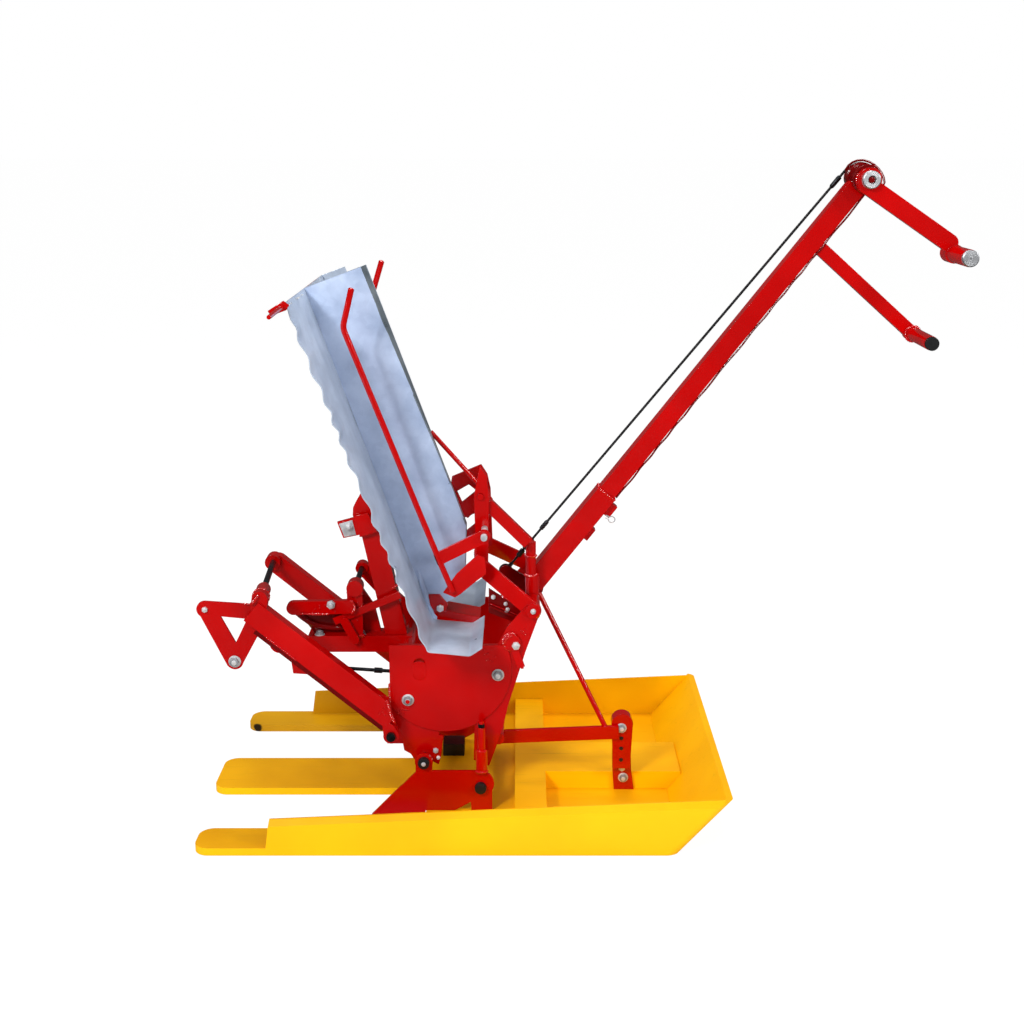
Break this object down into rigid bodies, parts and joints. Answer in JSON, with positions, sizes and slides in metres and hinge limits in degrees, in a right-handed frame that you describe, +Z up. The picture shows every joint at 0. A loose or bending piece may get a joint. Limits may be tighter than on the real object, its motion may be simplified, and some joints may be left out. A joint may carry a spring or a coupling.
{
  "type": "manual rice transplanter",
  "caption": "Hand-operated rice transplanter: leaning seedling tray, planting arms, crank lever with pull cable and a long handle on a plank-tailed float.",
  "frame": {"origin": "on the ground under the middle of the float sole", "axes": "+X towards the bow, the way it is pulled, +Y to its left, +Z up"},
  "size_m": [1.146, 0.58, 0.9964],
  "materials": {
    "red_paint": "gloss",
    "yellow_float": "satin",
    "galvanised_sheet": "satin",
    "aluminium_cap": "satin",
    "black_rubber": "matt",
    "dark_steel": "satin",
    "zinc_steel": "satin"
  },
  "bodies": {
    "chassis": {"float": "yellow_float", "side_plate_near": "red_paint", "side_plate_far": "red_paint", "cross_tubes": "red_paint", "handle_cross_tube": "red_paint", "foot_shafts": "dark_steel", "arm_shaft": "red_paint", "shoe_near": "red_paint", "shoe_far": "red_paint", "height_rods": "red_paint", "rubber_pads": "black_rubber", "front_post": "red_paint", "front_bar": "red_paint", "brace_rod": "red_paint", "rear_beam": "red_paint", "boss_shaft": "dark_steel", "boss_arms": "red_paint", "back_post": "red_paint", "guide_plate": "zinc_steel", "upright_near": "red_paint", "upright_far": "red_paint", "stand_shafts": "red_paint", "stand_bars": "red_paint", "foot_post": "red_paint", "stand_stay": "red_paint", "handle_sleeve": "red_paint", "handle_tube": "red_paint", "hub_bearing": "red_paint", "grip_arm": "red_paint", "fixed_grip": "red_paint", "grip_plug": "black_rubber", "clamp_lugs": "red_paint", "gate_bracket": "red_paint", "leg_bosses": "red_paint", "rear_links": "red_paint"},
    "hand_lever": {"crank_arm": "red_paint", "crank_grip": "red_paint", "crank_plug": "aluminium_cap", "hub_cap": "aluminium_cap", "cable_drum": "red_paint", "hub_strap": "red_paint"},
    "pull_cable": {"pull_cable": "black_rubber", "cable_tensioner": "dark_steel", "cable_eye": "dark_steel"},
    "drive_rocker": {"drive_rocker": "red_paint"},
    "planting_frame": {"planting_arm_near": "red_paint", "planting_arm_far": "red_paint", "tie_rod": "dark_steel", "fork_plate": "red_paint", "push_bracket": "red_paint", "push_rod": "dark_steel"},
    "seedling_tray": {"tray_bed": "galvanised_sheet", "tray_far_wall": "galvanised_sheet", "tray_divider": "galvanised_sheet", "tray_troughs": "galvanised_sheet", "tray_top_rod": "red_paint", "tray_stay": "red_paint", "tray_cross_bar": "red_paint"},
    "mat_rod_near": {"mat_rod_near": "red_paint"},
    "mat_rod_far": {"mat_rod_far": "red_paint"}
  },
  "joints": [
    {"name": "hand_lever_swing", "type": "hinge", "parent": "chassis", "child": "hand_lever", "pos_m": [0.594, 0, 0.9685], "axis": [0, 1, 0], "range_deg": [0, 65], "stiffness_Nm_per_rad": 6, "springref_deg": -85.94},
    {"name": "cable_pull", "type": "slide", "parent": "chassis", "child": "pull_cable", "axis": [0.6316, 0, 0.7753], "range_m": [0, 0.026]},
    {"name": "rocker_turn", "type": "hinge", "parent": "chassis", "child": "drive_rocker", "pos_m": [0.106, 0, 0.326], "axis": [0, 1, 0], "range_deg": [0, 30]},
    {"name": "planting_swing", "type": "hinge", "parent": "chassis", "child": "planting_frame", "pos_m": [-0.111, 0, 0.1415], "axis": [0, -1, 0], "range_deg": [0, 50]},
    {"name": "tray_shift", "type": "slide", "parent": "chassis", "child": "seedling_tray", "axis": [0, 1, 0], "range_m": [-0.04, 0.04]},
    {"name": "near_rod_lift", "type": "hinge", "parent": "chassis", "child": "mat_rod_near", "pos_m": [0.032, -0.106, 0.447], "axis": [0, 1, 0], "range_deg": [0, 50]},
    {"name": "far_rod_lift", "type": "hinge", "parent": "chassis", "child": "mat_rod_far", "pos_m": [0.032, 0.106, 0.447], "axis": [0, 1, 0], "range_deg": [-3.3, 47]}
  ],
  "couplings": [
    {"joint": "cable_pull", "follows": "hand_lever_swing", "m_per_rad": 0.022},
    {"joint": "rocker_turn", "follows": "hand_lever_swing", "ratio": 0.44},
    {"joint": "planting_swing", "follows": "hand_lever_swing", "ratio": 0.76903}
  ]
}
